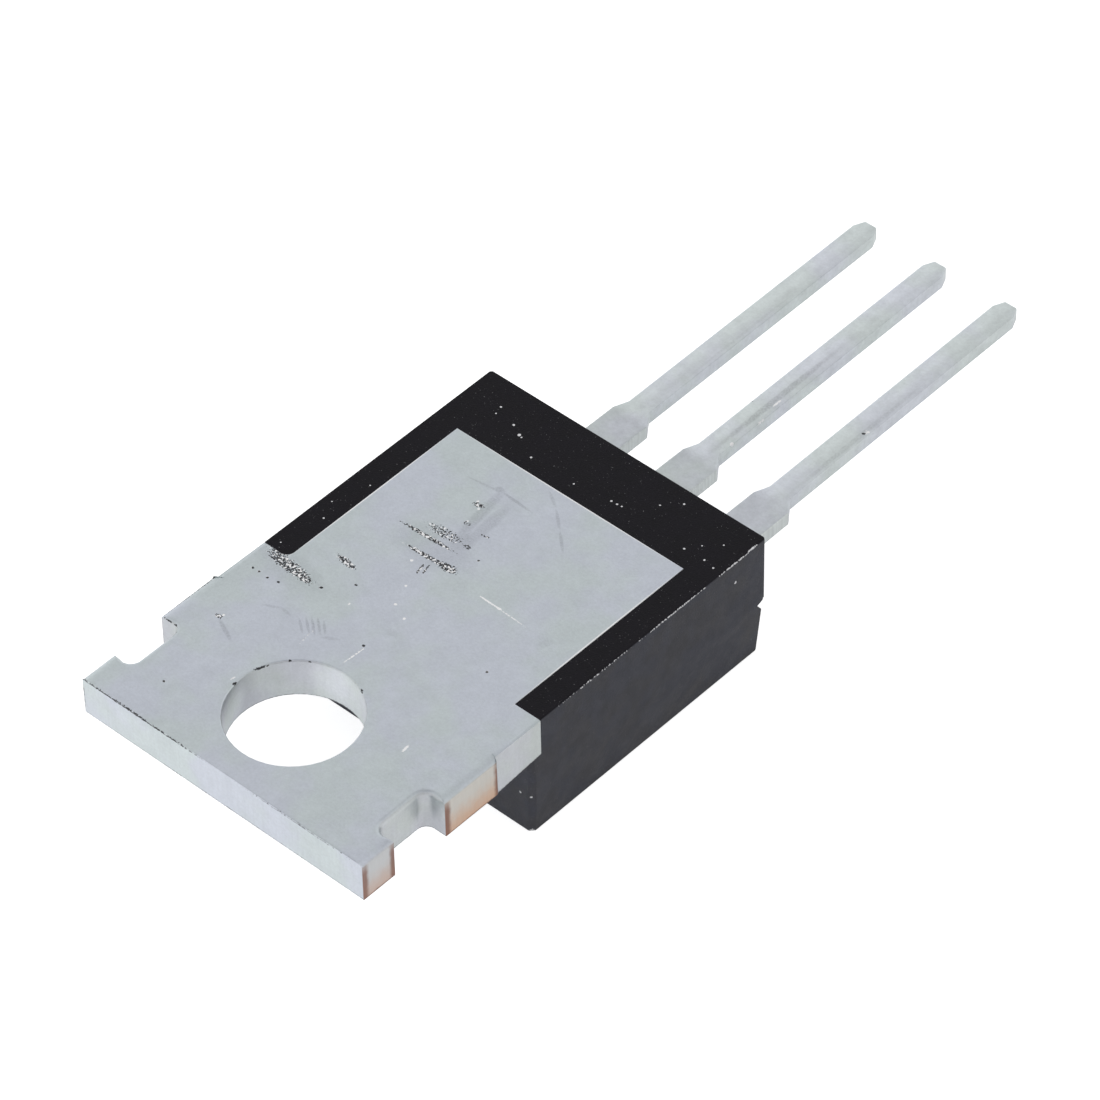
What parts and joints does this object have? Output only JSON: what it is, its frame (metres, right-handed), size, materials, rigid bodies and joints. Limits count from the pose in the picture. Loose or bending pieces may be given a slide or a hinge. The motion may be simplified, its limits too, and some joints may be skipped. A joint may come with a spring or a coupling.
{
  "type": "power mosfet",
  "caption": "Power MOSFET in a moulded body with a bare metal heatsink tab and straight through-hole leads.",
  "frame": {"origin": "centre of the bounding box, on the plane that the front face rests on", "axes": "+X across the width from the gate lead to the source lead, +Y from the tab to the lead tips, +Z out of the heatsink face"},
  "size_m": [0.01, 0.0288, 0.0043],
  "materials": {
    "tinned_copper": "satin tin plating on copper, bare copper where it was sheared",
    "black_epoxy": "fine matt, moulded",
    "silicon": "polished silicon with a metallised face",
    "solder": "dull soft solder",
    "bond_aluminium": "bright drawn wire"
  },
  "bodies": {
    "root": {"tab_with_drain_lead": "tinned_copper", "gate_lead": "tinned_copper", "source_lead": "tinned_copper", "moulded_body": "black_epoxy", "silicon_die": "silicon", "die_solder": "solder", "gate_wire": "bond_aluminium", "source_wire_1": "bond_aluminium", "source_wire_2": "bond_aluminium"}
  },
  "joints": []
}
